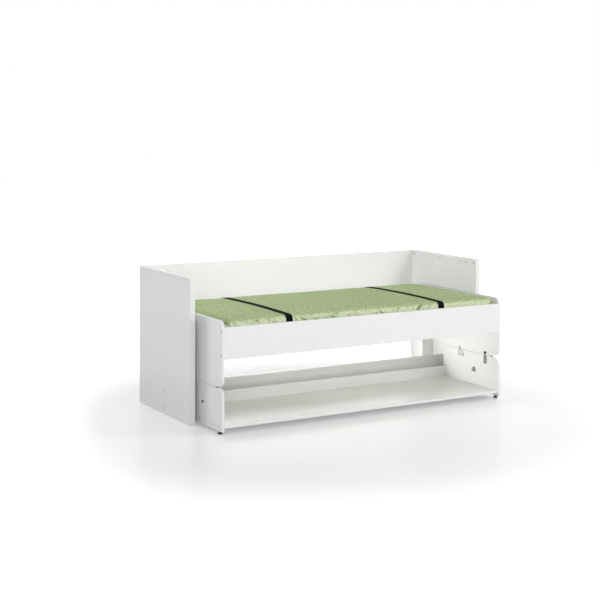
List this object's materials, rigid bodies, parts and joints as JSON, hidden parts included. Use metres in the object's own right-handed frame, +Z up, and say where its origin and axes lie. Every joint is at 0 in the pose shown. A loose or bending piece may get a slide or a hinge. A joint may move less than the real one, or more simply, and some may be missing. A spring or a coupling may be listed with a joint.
{
  "type": "multifunction bed",
  "caption": "Low cabinet with a single bed that folds up lengthways, and a desk that stays level under it as it swings out; strapped mattress, slatted base",
  "frame": {"origin": "on the floor, at the middle of the overall footprint", "axes": "+X along the bed to the right as seen from the front, +Y from the front board to the back panel, +Z up"},
  "size_m": [2.166, 1.071, 0.885],
  "materials": {
    "white_board": "white melamine-faced board",
    "slat_wood": "planed pale softwood",
    "green_fabric": "light green woven cover",
    "black_webbing": "black webbing",
    "grey_steel": "satin grey paint",
    "white_steel": "satin white paint",
    "zinc_steel": "dull dark zinc",
    "black_plastic": "moulded, matt",
    "grey_plastic": "moulded, matt"
  },
  "bodies": {
    "cabinet": {"end_panel_left": "white_board", "end_panel_right": "white_board", "back_panel": "white_board", "stretcher": "white_board", "stretcher_block_left": "white_board", "stretcher_block_right": "white_board", "inner_upright_left": "white_board", "inner_upright_right": "white_board", "top_strip_left": "white_steel", "top_strip_right": "white_steel", "cabinet_screws": "zinc_steel", "plate_screws": "zinc_steel", "bed_pivot_left": "white_steel", "bed_pivot_right": "white_steel", "arm_pivot_left": "white_steel", "arm_pivot_right": "white_steel"},
    "bed": {"bed_end_left": "white_board", "bed_end_right": "white_board", "front_board": "white_board", "rear_rail": "white_board", "front_bearer": "slat_wood", "rear_bearer": "slat_wood", "centre_beam": "slat_wood", "slat_01": "slat_wood", "slat_02": "slat_wood", "slat_03": "slat_wood", "slat_04": "slat_wood", "slat_05": "slat_wood", "slat_06": "slat_wood", "slat_07": "slat_wood", "slat_08": "slat_wood", "slat_09": "slat_wood", "slat_10": "slat_wood", "slat_11": "slat_wood", "slat_12": "slat_wood", "mattress": "green_fabric", "strap_left": "black_webbing", "strap_right": "black_webbing", "pivot_bushes": "black_plastic", "hinge_plate_left": "white_steel", "hinge_plate_right": "white_steel", "guide_plates": "grey_steel", "catch_studs": "black_plastic", "bed_screws": "zinc_steel"},
    "desk": {"desk_end_left": "white_board", "desk_end_right": "white_board", "desk_board": "white_board", "desk_upstand": "white_board", "desk_feet": "black_plastic", "catch_sockets": "grey_plastic", "hinge_bolts": "zinc_steel", "level_bolts": "zinc_steel", "arm_spacers": "black_plastic", "knob_bolts": "zinc_steel", "knobs": "grey_plastic", "desk_screws": "zinc_steel", "seam_buffers": "black_plastic"},
    "level_arm_left": {"level_arm_left": "white_steel"},
    "level_arm_right": {"level_arm_right": "white_steel"}
  },
  "joints": [
    {"name": "bed_fold", "type": "hinge", "parent": "cabinet", "child": "bed", "pos_m": [0, 0.32452, 0.61], "axis": [-1, 0, 0], "range_deg": [0, 90]},
    {"name": "desk_level", "type": "hinge", "parent": "bed", "child": "desk", "pos_m": [0, 0.02952, 0.225], "axis": [-1, 0, 0], "range_deg": [-90, 0]},
    {"name": "arm_left_swing", "type": "hinge", "parent": "cabinet", "child": "level_arm_left", "pos_m": [-1.031, 0.16452, 0.503], "axis": [-1, 0, 0], "range_deg": [0, 90]},
    {"name": "arm_right_swing", "type": "hinge", "parent": "cabinet", "child": "level_arm_right", "pos_m": [1.031, 0.16452, 0.503], "axis": [-1, 0, 0], "range_deg": [0, 90]}
  ],
  "couplings": [
    {"joint": "desk_level", "follows": "bed_fold", "ratio": -1},
    {"joint": "arm_left_swing", "follows": "bed_fold", "ratio": 1},
    {"joint": "arm_right_swing", "follows": "bed_fold", "ratio": 1}
  ]
}
